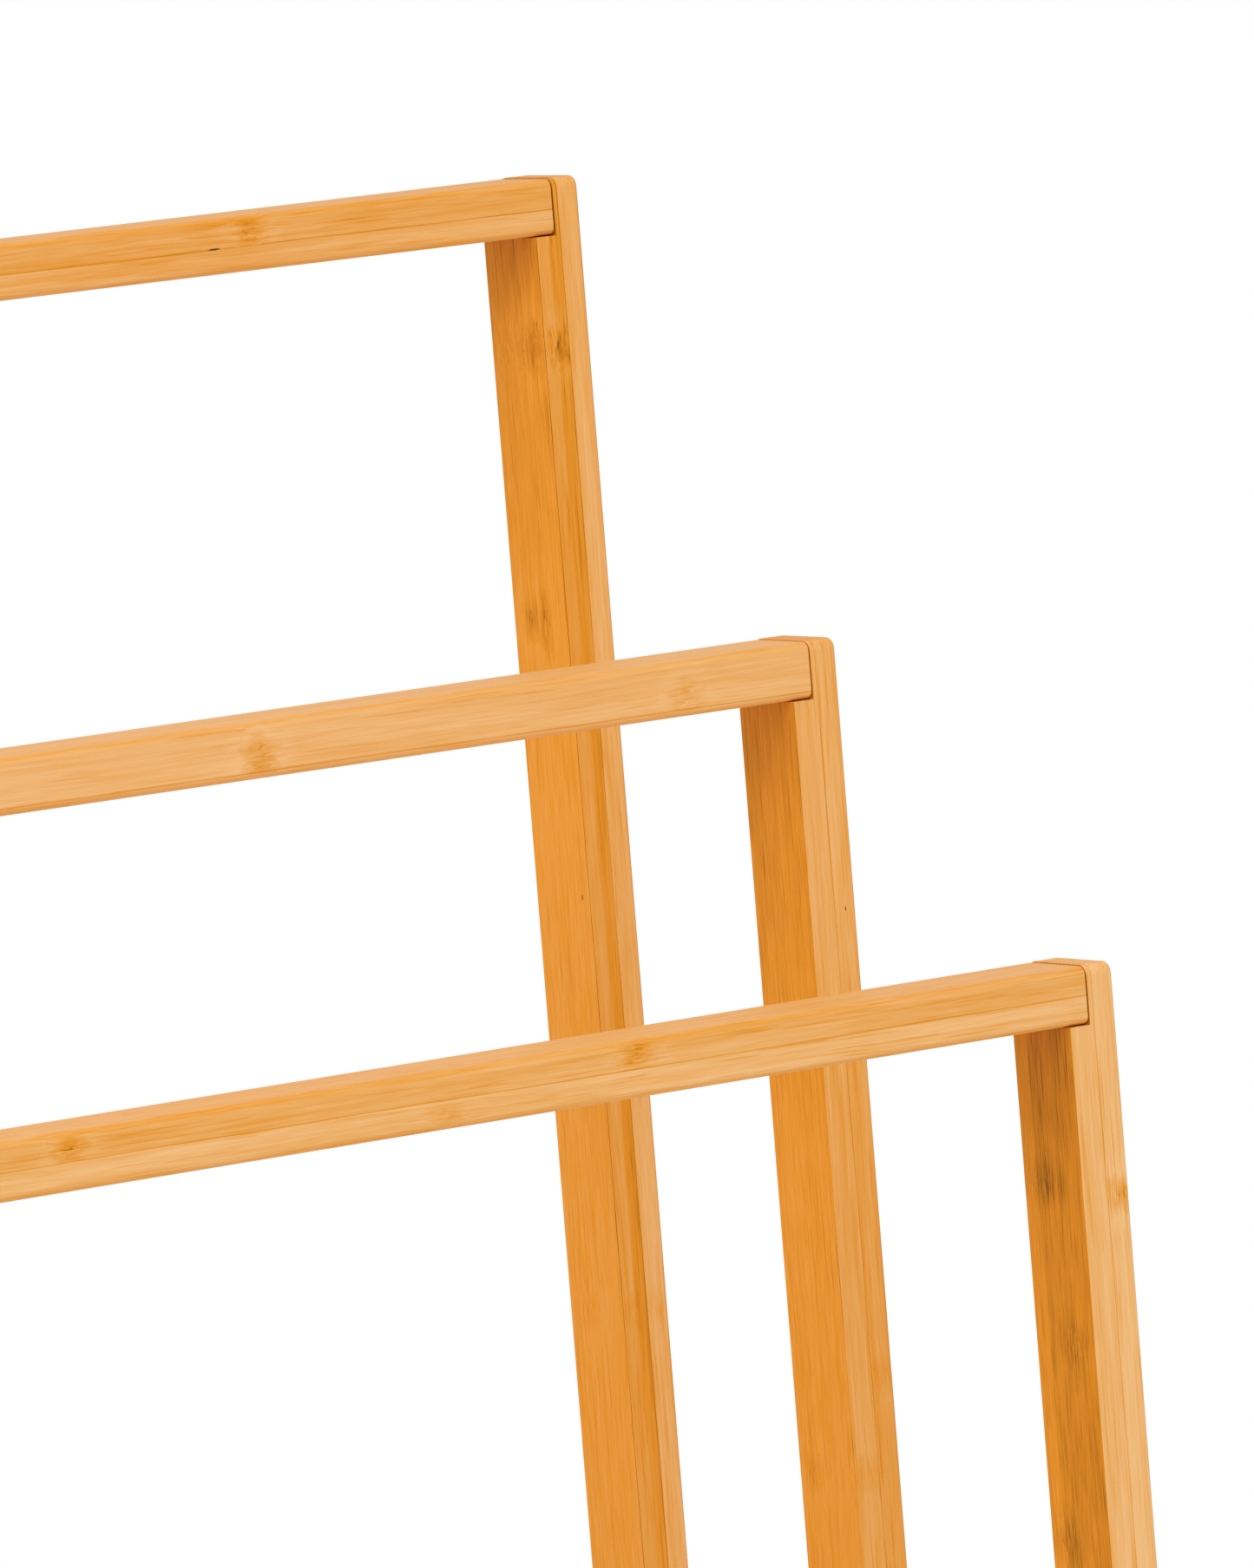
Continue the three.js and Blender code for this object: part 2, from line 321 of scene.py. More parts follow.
class Tree:
    """Short ways to add shader nodes. Inputs are numbers, colours, vectors or output sockets."""

    def __init__(self, name):
        self.material = bpy.data.materials.new(name)
        self.material.use_nodes = True
        self.nodes = self.material.node_tree.nodes
        self.links = self.material.node_tree.links
        self.shader = next(n for n in self.nodes if n.type == "BSDF_PRINCIPLED")

    def put(self, value, socket):
        if isinstance(value, bpy.types.NodeSocket):
            self.links.new(value, socket)
        else:
            socket.default_value = value

    def add(self, kind, *inputs, output=0, **settings):
        """A node of a kind, with its settings and its first inputs, and one of its outputs."""
        node = self.nodes.new("ShaderNode" + kind)
        for name, value in settings.items():
            setattr(node, name, value)
        for socket, value in zip(node.inputs, inputs):
            if value is not None:
                self.put(value, socket)
        return node.outputs[output]

    def math(self, operation, a, b=0.0, c=0.0):
        return self.add("Math", a, b, c, operation=operation)

    def total(self, first, *others):
        for other in others:
            first = self.math("ADD", first, other)
        return first

    def times(self, a, b):
        return self.math("MULTIPLY", a, b)

    def absolute(self, value):
        """A number without its sign."""
        return self.math("ABSOLUTE", value)

    def swing(self, noise, size):
        """A noise about 0.5 as a number from about -size / 2 to size / 2."""
        return self.times(self.total(noise, -0.5), size)

    def remap(self, value, low, high, to_low=0.0, to_high=1.0):
        """Value taken from low..high to to_low..to_high, smoothly and clamped."""
        return self.add(
            "MapRange", value, low, high, to_low, to_high, interpolation_type="SMOOTHSTEP"
        )

    def window(self, value, rise, fall):
        """1 between a rise and a fall, each of which is a (low, high) pair, and 0 outside."""
        return self.times(self.remap(value, *rise), self.remap(value, *fall, 1.0, 0.0))

    def blend(self, factor, a, b):
        """A mixture of two colours."""
        node = self.nodes.new("ShaderNodeMix")
        node.data_type = "RGBA"
        # A mix node has other sockets for colours than for numbers
        sockets = (node.inputs[0], node.inputs[6], node.inputs[7])
        for socket, value in zip(sockets, (factor, a, b)):
            self.put(value, socket)
        return node.outputs[2]

    def blend_value(self, factor, a, b):
        """A mixture of two numbers."""
        node = self.nodes.new("ShaderNodeMix")
        for socket, value in zip(node.inputs[:1] + node.inputs[2:4], (factor, a, b)):
            self.put(value, socket)
        return node.outputs[0]

    def vector(self, x, y, z):
        return self.add("CombineXYZ", x, y, z)

    def length(self, x, y, z=0.0):
        return self.add("VectorMath", self.vector(x, y, z), operation="LENGTH", output=1)

    def noise(self, vector, detail=2.0):
        """Noise about 0.5 whose grains are one unit of the vector across."""
        node = self.nodes.new("ShaderNodeTexNoise")
        self.put(vector, node.inputs["Vector"])
        node.inputs["Scale"].default_value = 1.0
        node.inputs["Detail"].default_value = detail
        return node.outputs["Fac"]

    def ramp(self, value, stops):
        """A colour for a value, from (place, colour) stops."""
        node = self.nodes.new("ShaderNodeValToRGB")
        elements = node.color_ramp.elements
        while len(elements) < len(stops):
            elements.new(1.0)
        for element, (place, colour) in zip(elements, stops):
            element.position = place
            element.color = colour
        self.put(value, node.inputs[0])
        return node.outputs[0]

    def place(self, *scale):
        """A point's place in the frame, multiplied by a scale along each axis."""
        coordinates = self.add("TexCoord", output=3)
        return self.add("VectorMath", coordinates, scale, operation="MULTIPLY")

    def apart(self, vector):
        """The three numbers of a vector."""
        node = self.nodes.new("ShaderNodeSeparateXYZ")
        self.put(vector, node.inputs[0])
        return list(node.outputs)

    def bump(self, height, distance, strength=0.5):
        node = self.nodes.new("ShaderNodeBump")
        node.inputs["Strength"].default_value = strength
        node.inputs["Distance"].default_value = distance
        self.put(height, node.inputs["Height"])
        self.set("Normal", node.outputs[0])

    def set(self, name, value):
        self.put(value, self.shader.inputs[name])


def rgb(red, green, blue):
    """A colour from 0 to 255 as it looks on a screen, as the linear light that nodes use."""

    def linear(value):
        value /= 255
        return value / 12.92 if value <= 0.04045 else ((value + 0.055) / 1.055) ** 2.4

    return (linear(red), linear(green), linear(blue), 1.0)


# ---- Bamboo ---------------------------------------------------------------------------------

# Carbonised bamboo runs through one scale of tones, from pale sapwood at 0 to scorched brown at 1
TONES = (
    (0.0, rgb(245, 193, 130)),
    (0.12, rgb(241, 181, 110)),
    (0.3, rgb(235, 164, 77)),
    (0.5, rgb(232, 148, 36)),
    (0.75, rgb(204, 125, 6)),
    (1.0, rgb(128, 82, 4)),
)
FLECK = rgb(70, 38, 14)

# Lengths in the bamboo's pattern are in millimetres
PLY = 7.5  # thickness of one ply, half of a bar's
PLY_WANDER = 0.15  # how far the glue line strays
PLY_SOFTNESS = 0.05  # over which one ply gives way to the other
PLY_JUMP = 50.0  # from one ply's noise to the other's
GLUE_WIDTH = 0.3
GLUE_TONE = 0.5
END_TONE = 0.1
DOT_TONE = 0.2  # of the ends of the fibres
CHANGE_START = -40  # from the top of an upright
CHANGE_END = -180
STRIP_EDGE = 0.4  # over which a strip's tone comes in
# For the shade painted just under the rails: how softly it comes in, and how far its ends stray
PAINTED_SHADE_EDGE = 7.0
PAINTED_SHADE_STRAY = 26.0  # how far the ends of the painted shade stray from fibre to fibre
KNUCKLE_REACH = 5.0  # half the length of a knuckle's smudge
MARK_HOLD = 20.0  # how far from a knuckle or scar its strength holds
FAR = 1000.0
RELIEF = 0.05 * MM  # the height of the figure

# Noises drawn out along the fibres: the length and width of their streaks, a key that gives each
# noise its own pattern, and its detail
BANDS = (90.0, 3.6, 1.0)
STREAKS = (36.0, 0.9, 5.0)
LINES = (26.0, 0.42, 9.0, 1.0)
HAIRS = (11.0, 0.3, 13.0, 1.0)
DRIFT = (20.0, 7.0, 17.0)
CLOUD = (6.0, 3.0, 21.0, 1.0)
WRINKLES = (6.5, 1.0, 23.0, 1.0)
COMBED = (120.0, 1.1, 25.0)
TAILS = (24.0, 0.6, 27.0, 1.0)


@dataclass
class Knuckle:
    """A node of the cane on the edges of its ply: a smudge of scorched and ruffled fibres."""

    place: float  # along the bar
    ply: int = 0  # -1 or 1 for one of the two plies, or 0 for both
    strength: float = 0.6  # up to about 1


@dataclass
class Scar:
    """A node of the cane on a ply's broad face: a dark cloud with wrinkles in it."""

    place: float  # along the bar
    side: float  # across the face
    strength: float = 0.6
    length: float = 11.0
    width: float = 11.0


@dataclass
class Look:
    """How one bar looks."""

    lower: float  # tone of the edges of the ply that comes first along the axis through the plies
    upper: float  # and of the other ply
    face: float  # tone of the broad faces
    knuckles: Sequence = ()
    scars: Sequence = ()
    flecks: Sequence = ()  # (place, side, depth, length, width)
    seed: int = 0
    figure: float = 1.0  # how strong the figure is
    change: tuple = (0.0, 0.0)  # of the tones of edges and faces, down the top of an upright
    strips: Sequence = ()  # (name of a place in Fibres, start, end, change of tone): bands of a ply's own tone, and bands of painted light
    painted_shade_and_tone: Sequence = ()  # stretches of the broad faces: (start, end, change of tone). They are painted shade just under the rail, and on the front upright also the cane's own darker tone above a knuckle
    arris: float = 0.04  # how much darker the rounded edges are


class Fibres:
    """Where a point of a bar is among the bar's fibres, and noises drawn out along them."""

    def __init__(self, tree, origin, look, grain, across, through, glue):
        self.tree = tree
        self.key = 37.0 * look.seed
        coordinates = tree.add("TexCoord", output=3)
        placed = tree.add("VectorMath", coordinates, tuple(origin), operation="SUBTRACT")
        in_millimetres = tree.add("VectorMath", placed, (1 / MM,) * 3, operation="MULTIPLY")
        split = tree.apart(in_millimetres)
        self.along, self.sideways, self.depth = (split[i] for i in (grain, across, through))
        facing = tree.apart(tree.add("NewGeometry", output=1))
        self.on_end, self.on_edge, self.on_face = (
            tree.absolute(facing[i]) for i in (grain, across, through)
        )
        wander = self.stray(100.0, 1.0, 2 * PLY_WANDER)
        self.from_glue = tree.total(self.depth, -glue, wander)
        self.upper = tree.remap(self.from_glue, -PLY_SOFTNESS, PLY_SOFTNESS)
        self.broad = tree.remap(self.on_face, 0.45, 0.8)
        self.narrow = tree.remap(self.broad, 0.0, 1.0, 1.0, 0.0)
        self.bent_sideways = tree.total(self.sideways, self.stray(90.0, 5.0, 1.6))
        self.bent_depth = tree.total(self.depth, self.stray(90.0, 9.0, 1.6))

    def stray(self, length, key, size):
        """A slow swing of a size to either side, along the bar."""
        tree = self.tree
        noise = tree.noise(tree.vector(tree.times(self.along, 1 / length), self.key, key), 1.0)
        return tree.swing(noise, size)

    def noise(self, length, width, key, detail=2.0):
        """Noise in streaks of a length and width in millimetres, its own in each ply."""
        tree = self.tree
        along = tree.total(tree.times(self.along, 1 / length), self.key + key)
        sideways = tree.times(self.bent_sideways, 1 / width)
        depth = tree.times(self.bent_depth, 1 / width)
        depth = tree.total(depth, tree.times(self.upper, PLY_JUMP))
        return tree.noise(tree.vector(along, sideways, depth), detail)


def nearest(tree, fibres, marks, distance):
    """How far the nearest of some marks is, by a measure of distance, and how strong it is."""
    away = FAR
    strength = 0.0
    for mark in marks:
        away = tree.math("MINIMUM", away, distance(mark))
        here = tree.math("COMPARE", fibres.along, mark.place, MARK_HOLD)
        strength = tree.math("MULTIPLY_ADD", here, mark.strength, strength)
    return away, strength


def cane_marks(tree, fibres, look):
    """How much darker the cane's knuckles and scars make a bar, and how they push its fibres.

    The distances here are 0 at the middle of a mark and 1 at its rim. All the marks of a bar share
    one smudge and one set of wrinkles, worked out from the nearest of them.
    """

    def from_knuckle(knuckle):
        return tree.absolute(tree.total(fibres.along, -knuckle.place))

    def from_scar(scar):
        lengthways = tree.times(tree.total(fibres.along, -scar.place), 2 / scar.length)
        sideways = tree.times(tree.total(fibres.sideways, -scar.side), 2 / scar.width)
        return tree.length(lengthways, sideways)

    of_plies = []
    for ply in (-1, 1):
        knuckles = [knuckle for knuckle in look.knuckles if knuckle.ply in (0, ply)]
        of_plies.append(nearest(tree, fibres, knuckles, from_knuckle))
    away, edge_strength = (tree.blend_value(fibres.upper, a, b) for a, b in zip(*of_plies))
    scar_away, face_strength = nearest(tree, fibres, look.scars, from_scar)
    strength = tree.blend_value(fibres.broad, edge_strength, face_strength)

    cloud = fibres.noise(*CLOUD)
    wrinkle = fibres.noise(*WRINKLES)
    combed = fibres.noise(*COMBED)
    tails = tree.remap(fibres.noise(*TAILS), 0.55, 0.68, 0.0, 0.16)

    # A knuckle's rim is ragged along the fibres, and a scar's is cloudy
    from_middle = tree.total(tree.absolute(fibres.from_glue), -PLY / 2)
    on_edge = tree.total(
        tree.length(tree.times(away, 1 / KNUCKLE_REACH), tree.times(from_middle, 0.2)),
        tree.swing(combed, 1.5),
    )
    loose = tree.total(
        tree.blend_value(fibres.broad, on_edge, scar_away),
        tree.swing(cloud, 1.4),
    )

    smudge = tree.times(
        tree.remap(loose, 0.1, 1.3, 1.0, 0.0),
        tree.remap(cloud, 0.35, 0.65, 0.08, 0.26),
    )
    creases = tree.remap(tree.absolute(tree.total(wrinkle, -0.47)), 0.0, 0.07, 0.22, 0.0)
    ridges = tree.remap(tree.absolute(tree.total(wrinkle, -0.6)), 0.0, 0.06, -0.2, 0.0)
    ruffled = tree.times(tree.total(creases, ridges), tree.remap(loose, 0.2, 1.0, 1.0, 0.0))
    halo = tree.times(tree.remap(loose, 0.9, 1.3), tree.remap(loose, 1.3, 2.6, -0.06, 0.0))
    near = tree.times(tree.remap(away, 3.0, 18.0, 1.0, 0.0), fibres.narrow)
    dark = tree.total(smudge, ruffled, halo, tree.times(tails, near))
    push = tree.times(tree.total(cloud, -0.5), tree.remap(away, 2.0, 12.0, 2.2, 0.0))
    return tree.times(dark, strength), tree.times(push, edge_strength)


def ply_tone(tree, fibres, look):
    """The tone of a bar's plies, with their strips of own tone and of painted light, and the shade
    painted under the rails, before any figure.
    """
    edge_tone = tree.blend_value(fibres.upper, look.lower, look.upper)
    tone = tree.blend_value(fibres.broad, edge_tone, look.face)
    if look.change != (0.0, 0.0):
        down = tree.remap(fibres.along, CHANGE_END, CHANGE_START, 1.0, 0.0)
        changed = tree.blend_value(fibres.broad, *look.change)
        tone = tree.total(tone, tree.times(down, changed))
    for direction, start, end, change in look.strips:
        rise = (start - STRIP_EDGE, start + STRIP_EDGE)
        inside = tree.window(getattr(fibres, direction), rise, (end, end + STRIP_EDGE))
        tone = tree.total(tone, tree.times(inside, change))
    # Painted shade: the broad faces are darker just under the rail, where the rail shades them
    if look.painted_shade_and_tone:
        drift = tree.swing(fibres.noise(*DRIFT), PAINTED_SHADE_STRAY)
        place = tree.total(fibres.along, drift)
        for start, end, change in look.painted_shade_and_tone:
            rise = (start - PAINTED_SHADE_EDGE, start + PAINTED_SHADE_EDGE)
            fall = (end - PAINTED_SHADE_EDGE, end + PAINTED_SHADE_EDGE)
            inside = tree.times(tree.window(place, rise, fall), fibres.broad)
            tone = tree.total(tone, tree.times(inside, change))
    return tone


def figure_tone(tree, fibres, soft, lines, hairs):
    """How the fibres change the tone: broad bands, soft streaks, dark and pale lines and hairs."""
    bands = tree.remap(fibres.noise(*BANDS), 0.3, 0.7, -0.06, 0.06)
    streaks = tree.total(
        tree.remap(soft, 0.5, 0.72, 0.0, 0.13),
        tree.remap(soft, 0.28, 0.48, -0.06, 0.0),
    )
    wide = tree.times(tree.total(bands, streaks), tree.remap(fibres.broad, 0.0, 1.0, 1.0, 0.45))
    dark_lines = tree.remap(lines, 0.62, 0.72, 0.0, 0.2)
    pale_lines = tree.remap(lines, 0.28, 0.38, -0.08, 0.0)
    fine = tree.times(tree.remap(hairs, 0.3, 0.7, -0.04, 0.04), tree.total(fibres.broad, 1.0))
    return tree.total(wide, dark_lines, pale_lines, fine)


def end_tone(tree, fibres):
    """How much darker a bar's ends are, where the ends of the fibres show as dots."""
    across = tree.times(fibres.sideways, 1.6)
    through = tree.times(fibres.depth, 1.6)
    dots = tree.noise(tree.vector(across, through, fibres.key), detail=1.0)
    ends = tree.remap(dots, 0.45, 0.62, END_TONE, END_TONE + DOT_TONE)
    return tree.times(tree.remap(fibres.on_end, 0.9, 1.0), ends)


def flecked(tree, fibres, flecks, colour):
    """A colour with dark flecks on it."""
    for place, side, deep, length, width in flecks:
        away = tree.length(
            tree.times(tree.total(fibres.along, -place), 2 / length),
            tree.times(tree.total(fibres.sideways, -side), 2 / width),
            tree.times(tree.total(fibres.depth, -deep), 2 / width),
        )
        colour = tree.blend(tree.remap(away, 0.5, 1.0, 0.9, 0.0), colour, FLECK)
    return colour


def bamboo(bar, look, grain, across, through, origin=None, glue=0.0):
    """The material of a bar of two plies.

    Grain, across and through are 0, 1 or 2 for X, Y or Z: the axes along the fibres, across a
    ply's broad face, and from one ply to the other. Places along the grain are measured from the
    origin, and glue is how far from it the plies meet.
    """
    tree = Tree(bar + "_bamboo")
    low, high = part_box(bar)
    fibres = Fibres(tree, origin or (low + high) / 2, look, grain, across, through, glue)

    # The knuckles come first, because the figure swerves round them
    marks, push = cane_marks(tree, fibres, look)
    fibres.bent_sideways = tree.total(fibres.bent_sideways, push)
    fibres.bent_depth = tree.total(fibres.bent_depth, push)
    soft = fibres.noise(*STREAKS)
    lines = fibres.noise(*LINES)
    hairs = fibres.noise(*HAIRS)

    figure = tree.times(figure_tone(tree, fibres, soft, lines, hairs), look.figure)
    glue_line = tree.times(
        tree.remap(tree.absolute(fibres.from_glue), 0.0, GLUE_WIDTH, GLUE_TONE, 0.0),
        tree.remap(soft, 0.35, 0.6, 0.3, 1.0),
    )
    corner = tree.math("MINIMUM", fibres.on_edge, fibres.on_face)
    arris = tree.remap(corner, 0.15, 0.6, 0.0, look.arris)
    plain = ply_tone(tree, fibres, look)
    tone = tree.total(plain, figure, marks, glue_line, arris, end_tone(tree, fibres))
    tree.set("Base Color", flecked(tree, fibres, look.flecks, tree.ramp(tone, TONES)))

    tree.set("Roughness", tree.remap(soft, 0.3, 0.7, 0.4, 0.5))
    tree.set("Specular IOR Level", 0.1)
    height = tree.total(tree.times(hairs, 0.6), tree.times(lines, -0.8), tree.times(marks, -3.0))
    tree.bump(height, RELIEF)
    return tree.material


# ---- The bars -------------------------------------------------------------------------------

RAIL_LOOKS = {
    "front": Look(
        lower=0.11, upper=0.20, face=0.2, seed=1, arris=0.1,
        knuckles=[Knuckle(-112, 1, 1.0), Knuckle(59, 1, 1.0), Knuckle(0, -1, 0.4)],
    ),
    "middle": Look(
        lower=0.14, upper=0.10, face=0.17, seed=2, figure=0.7, arris=0.07,
        knuckles=[Knuckle(-128, 0, 0.7), Knuckle(26, 0, 1.0), Knuckle(161, 0, 0.6)],
        flecks=[(-12, 12, 7.2, 4.0, 1.2), (-1, 12, 7.2, 3.0, 1.0)],
    ),
    "back": Look(
        lower=0.19, upper=0.29, face=0.25, seed=3,
        knuckles=[Knuckle(-95, -1, 0.8), Knuckle(103, 1, 1.0)],
        flecks=[(91.5, -12.5, -0.6, 5.0, 0.7)],
    ),
}
# How far above a rail's middle its plies meet
RAIL_GLUE = {"front": 0.0, "middle": -5.6, "back": -0.7}

# Places along an upright are measured up from its top, so they are negative
UPRIGHT_LOOKS = {
    "front": Look(
        lower=0.10, upper=0.04, face=0.70, seed=4,
        # Painted light: a paler band down the rear of the upright, where less shadow falls than on
        # the rest of its broad face
        strips=[("sideways", 6.9, 13.0, -0.12)],
        # Painted shade under the rail, which also gives the cane's own darker tone above the
        # knuckle at -60.6
        painted_shade_and_tone=[(-60, 0, 0.07)],
        knuckles=[Knuckle(-60.6, 1, 1.3), Knuckle(-372, 1, 0.8), Knuckle(-401, -1, 0.8)],
        scars=[
            Scar(-57, 3, 0.36, 13, 18),
            Scar(-99, -3, 0.5, 20, 12),
            Scar(-151, 6, 0.6, 16, 14),
            Scar(-398, -2, 0.9),
        ],
    ),
    "middle": Look(
        lower=0.15, upper=0.20, face=0.60, seed=5, change=(0.15, -0.11), arris=0.2,
        # Painted shade under the rail
        painted_shade_and_tone=[(-38, 0, 0.05)],
        knuckles=[
            Knuckle(-223, -1, 0.4), Knuckle(-197, 1, 0.4), Knuckle(-468, -1), Knuckle(-515, 1),
        ],
        scars=[Scar(-223, 7, 0.35), Scar(-466, -4, 0.8)],
        flecks=[(-72, -12.5, 4.0, 1.6, 0.5)],
    ),
    "back": Look(
        lower=0.35, upper=0.19, face=0.56, seed=6, change=(0.0, -0.10), arris=0.45,
        # The ply's own darker tone beside the glue line
        strips=[("from_glue", -3.6, 0.0, 0.13)],
        # Painted shade under the rail
        painted_shade_and_tone=[(-32, 0, 0.1)],
        knuckles=[
            Knuckle(-45.7, -1, 1.0), Knuckle(-308.7, 0, 0.3),
            Knuckle(-560, 1, 0.8), Knuckle(-640, -1, 0.8),
        ],
        scars=[
            Scar(-46, -6.5, 0.7, 14, 12),
            Scar(-119.5, 4.0, 0.35, 13, 9),
            Scar(-121, -2.1, 0.45, 18, 6),
            Scar(-309, 3, 0.3),
            Scar(-640, 2, 0.9),
        ],
        flecks=[(-195, -9.0, -7.5, 2.0, 0.7)],
    ),
}
UPRIGHT_GLUE = 0.4  # outwards of the upright's middle

# Where the knuckles of the other bars may be, in millimetres
CANE_LENGTHS = (190, 270)  # from one to the next
FIRST_KNUCKLE = 40  # at least this far from the start of a bar
LAST_KNUCKLE = 20  # and this far from its end
SEEDS = {
    "front_left_upright": 10,
    "middle_left_upright": 11,
    "back_left_upright": 12,
    "left_foot_bar": 19,
    "right_foot_bar": 21,
    "front_stretcher": 35,
    "rear_stretcher": 34,
}


def guessed_look(node, length):
    """A look for a bar of a length in metres, from random draws."""
    draw = random.Random(SEEDS[node])
    half = length / MM / 2
    knuckles = []
    scars = []
    for ply in (-1, 1):
        place = -half + draw.uniform(FIRST_KNUCKLE, CANE_LENGTHS[0])
        while place < half - LAST_KNUCKLE:
            strength = draw.uniform(0.6, 1.0)
            knuckles.append(Knuckle(place, ply, strength))
            scars.append(Scar(place, draw.uniform(-5, 5), strength, 12, draw.uniform(9, 16)))
            place += draw.uniform(*CANE_LENGTHS)
    return Look(
        lower=draw.uniform(0.1, 0.3),
        upper=draw.uniform(0.1, 0.3),
        face=draw.uniform(0.45, 0.6),
        knuckles=knuckles,
        scars=scars,
        seed=SEEDS[node],
    )


def box_outline(low, high):
    return [(low.x, low.z), (high.x, low.z), (high.x, high.z), (low.x, high.z)]


def finish_bar(piece, node, material):
    drill(piece, holes_in(node))
    smooth(piece)
    return finish_piece(piece, node, material)


def rail(name):
    node = name + "_rail"
    low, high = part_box(node)

    def radius_of(middle, direction):
        return RAIL_ROUND if abs(direction.x) > 0.9 else RAIL_END_ROUND

    piece = prism(node + "_bar", box_outline(low, high), low.y, high.y, radius_of)
    material = bamboo(
        node, RAIL_LOOKS[name], grain=0, across=1, through=2, glue=RAIL_GLUE[name]
    )
    return finish_bar(piece, node, material)


def upright(name, side):
    node = f"{name}_{side}_upright"
    sign = SIDES[side]
    low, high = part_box(node)
    rail_low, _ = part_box(name + "_rail")
    outer, inner = (high.x, low.x) if sign > 0 else (low.x, high.x)
    ear = outer - sign * EAR
    ledge = rail_low.z - LEDGE_GAP
    outline = [
        (outer, low.z),
        (outer, high.z),
        (ear, high.z),
        (ear, ledge),
        (inner, ledge),
        (inner, low.z),
    ]

    def radius_of(middle, direction):
        if abs(direction.x) > 0.9 and middle.z > ledge + MM:
            return TOP_ROUND
        if abs(middle.x - outer) < MM and middle.z > low.z + MM:
            return EASED
        return CRISP

    piece = prism(node + "_bar", outline, low.y, high.y, radius_of)
    if side == "right":
        look = UPRIGHT_LOOKS[name]
        middle = (low + high) / 2
        origin = Vector((middle.x, middle.y, high.z))
    else:
        look = guessed_look(node, high.z - low.z)
        origin = None
    material = bamboo(
        node, look, grain=2, across=1, through=0, origin=origin, glue=sign * UPRIGHT_GLUE
    )
    return finish_bar(piece, node, material)


def foot_bar(side):
    node = side + "_foot_bar"
    low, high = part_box(node)

    def radius_of(middle, direction):
        if abs(direction.x) > 0.9 and middle.z > (low.z + high.z) / 2:
            return FOOT_END_ROUND
        return EASED

    piece = prism(node + "_bar", box_outline(low, high), low.y, high.y, radius_of)
    look = guessed_look(node, high.y - low.y)
    material = bamboo(node, look, grain=1, across=2, through=0)
    return finish_bar(piece, node, material)


def stretcher(end):
    node = end + "_stretcher"
    low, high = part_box(node)

    def radius_of(middle, direction):
        return EASED if abs(direction.x) > 0.9 else CRISP

    piece = prism(node + "_bar", box_outline(low, high), low.y, high.y, radius_of)
    look = guessed_look(node, high.x - low.x)
    material = bamboo(node, look, grain=0, across=2, through=1)
    return finish_bar(piece, node, material)


# ---- Screws, dowels and pads ----------------------------------------------------------------


def hexagon(flats):
    """The radius of a hexagon at an angle, from its width across flats."""
    sixth = math.pi / 3
    return lambda angle: flats / 2 / math.cos((angle + sixth / 2) % sixth - sixth / 2)


def thread(bm, low, high):
    """The skin of a right-hand thread about Z, which fades out to its core at both ends."""
    rows = len(THREAD_SHAPE)
    turns = math.ceil((high - low) / THREAD_PITCH)
    grid = []
    for row in range(-rows, turns * rows + 1):
        turn, step = divmod(row, rows)
        phase, crest = THREAD_SHAPE[step]
        line = []
        for column in range(SCREW_COLUMNS + 1):
            part = column / SCREW_COLUMNS
            height = low + THREAD_PITCH * (turn + phase + part)
            height = min(max(height, low), high)
            fade = min(1.0, (height - low) / THREAD_FADE, (high - height) / THREAD_FADE)
            radius = THREAD_CORE + (SHANK_RADIUS - THREAD_CORE) * crest * fade
            angle = 2 * math.pi * part
            point = (radius * math.cos(angle), radius * math.sin(angle), height)
            line.append(bm.verts.new(point))
        grid.append(line)
    for lower, upper in zip(grid, grid[1:]):
        for i in range(SCREW_COLUMNS):
            bm.faces.new((lower[i], lower[i + 1], upper[i + 1], upper[i]))


def screw_mesh(length):
    """A countersunk wood screw with a hexagon socket, its head's top at the origin and +Z out."""
    bm = bmesh.new()
    neck = -PLAIN_SHARE * length
    point = -length + SCREW_POINT
    head = (
        (hexagon(SOCKET_FLATS), -SOCKET_DEPTH),
        (hexagon(SOCKET_FLATS), -0.15 * MM),
        (hexagon(SOCKET_FLATS + 0.3 * MM), 0),
        (HEAD_RADIUS - 0.3 * MM, 0),
        (HEAD_RADIUS, -0.3 * MM),
        (HEAD_RADIUS, -0.5 * MM),
        (SHANK_RADIUS, -HEAD_HEIGHT),
        (PLAIN_SHANK, -HEAD_HEIGHT - 0.5 * MM),
        (PLAIN_SHANK, neck + 0.5 * MM),
        (THREAD_CORE, neck),
    )
    tip = (
        (THREAD_CORE, point),
        (0.75 * THREAD_CORE, point - 0.5 * SCREW_POINT),
        (0.15 * MM, -length),
    )
    head_loops, tip_loops = (
        skin(bm, [ring(radius, height, SCREW_COLUMNS) for radius, height in profile])
        for profile in (head, tip)
    )
    bm.faces.new(head_loops[0])
    bm.faces.new(tip_loops[-1])
    thread(bm, point, neck)
    bmesh.ops.remove_doubles(bm, verts=bm.verts, dist=1e-7)
    bmesh.ops.recalc_face_normals(bm, faces=bm.faces)
    return mesh_of(bm, "Screw")


def screw(node):
    low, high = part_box(node)
    middle = (low + high) / 2
    if node.endswith("foot_screw"):
        outward = -Z
        head = Vector((middle.x, middle.y, low.z))
        length = high.z - low.z
    else:
        outward = math.copysign(1, middle.x) * X
        head = Vector((max(low.x, high.x, key=abs), middle.y, middle.z))
        length = high.x - low.x
    mesh = screw_mesh(length)
    mesh.transform(along(outward, head))
    piece = smooth(new_object(node + "_threaded", mesh), 40)
    return finish_piece(piece, node, STEEL)


